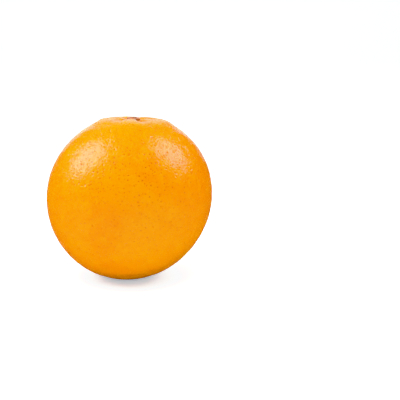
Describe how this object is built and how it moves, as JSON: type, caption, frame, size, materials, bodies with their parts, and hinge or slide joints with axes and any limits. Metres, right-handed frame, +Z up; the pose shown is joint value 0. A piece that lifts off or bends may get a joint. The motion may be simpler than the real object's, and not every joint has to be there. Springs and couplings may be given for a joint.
{
  "type": "grapefruit",
  "caption": "Whole ripe grapefruit with dimpled golden-orange peel and a dry lobed calyx in its furrowed stem end, resting on a small flat spot.",
  "frame": {"origin": "middle of the fruit's footprint, in the plane of the flat spot it rests on", "axes": "+Z up through the stem end, which leans 4 degrees from it; +X to the right and -Y towards a viewer who sees the deepest furrow in front"},
  "size_m": [0.1086, 0.1084, 0.1068],
  "materials": {
    "peel": "waxy, finely dimpled, golden orange",
    "calyx": "dry, matt, grey-brown"
  },
  "bodies": {
    "root": {"fruit": "peel", "calyx": "calyx"}
  },
  "joints": []
}
